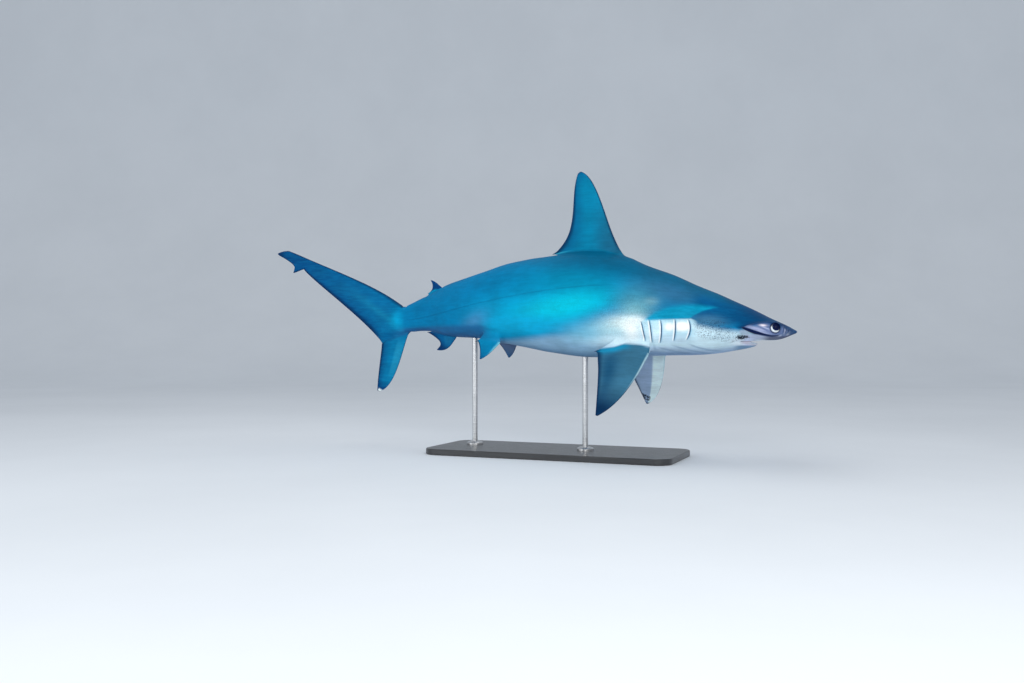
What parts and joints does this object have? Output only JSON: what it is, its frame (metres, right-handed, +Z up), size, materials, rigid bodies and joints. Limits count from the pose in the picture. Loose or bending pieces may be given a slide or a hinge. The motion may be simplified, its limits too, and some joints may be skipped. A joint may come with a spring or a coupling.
{
  "type": "scalloped hammerhead shark model",
  "caption": "Life-size still model of a swimming scalloped hammerhead shark, held over a flat base by short rods.",
  "frame": {"origin": "on the floor, under the middle of the whole model's bounding box", "axes": "+X along the body towards the head, +Y to the animal's left, +Z up"},
  "size_m": [2.2942, 0.6806, 1.114],
  "materials": {
    "shark_skin": "wet-looking, finely grained skin, dark blue-green above and near white below",
    "eye": "glossy dark ball with a pale ring",
    "stand_lacquer": "dark satin lacquer",
    "stand_steel": "brushed"
  },
  "bodies": {
    "root": {"cephalofoil": "shark_skin", "lower_jaw": "shark_skin", "head": "shark_skin", "gill_region": "shark_skin", "trunk_front": "shark_skin", "trunk_rear": "shark_skin", "tail_stalk": "shark_skin", "dorsal_fin_first": "shark_skin", "dorsal_fin_second": "shark_skin", "anal_fin": "shark_skin", "pectoral_fin_right": "shark_skin", "pectoral_fin_left": "shark_skin", "pelvic_fin_right": "shark_skin", "pelvic_fin_left": "shark_skin", "caudal_fin_upper": "shark_skin", "caudal_fin_lower": "shark_skin", "eye_right": "eye", "eye_left": "eye", "stand_base": "stand_lacquer", "stand_rod_front": "stand_steel", "stand_rod_rear": "stand_steel", "stand_collar_front": "stand_steel", "stand_collar_rear": "stand_steel"}
  },
  "joints": []
}
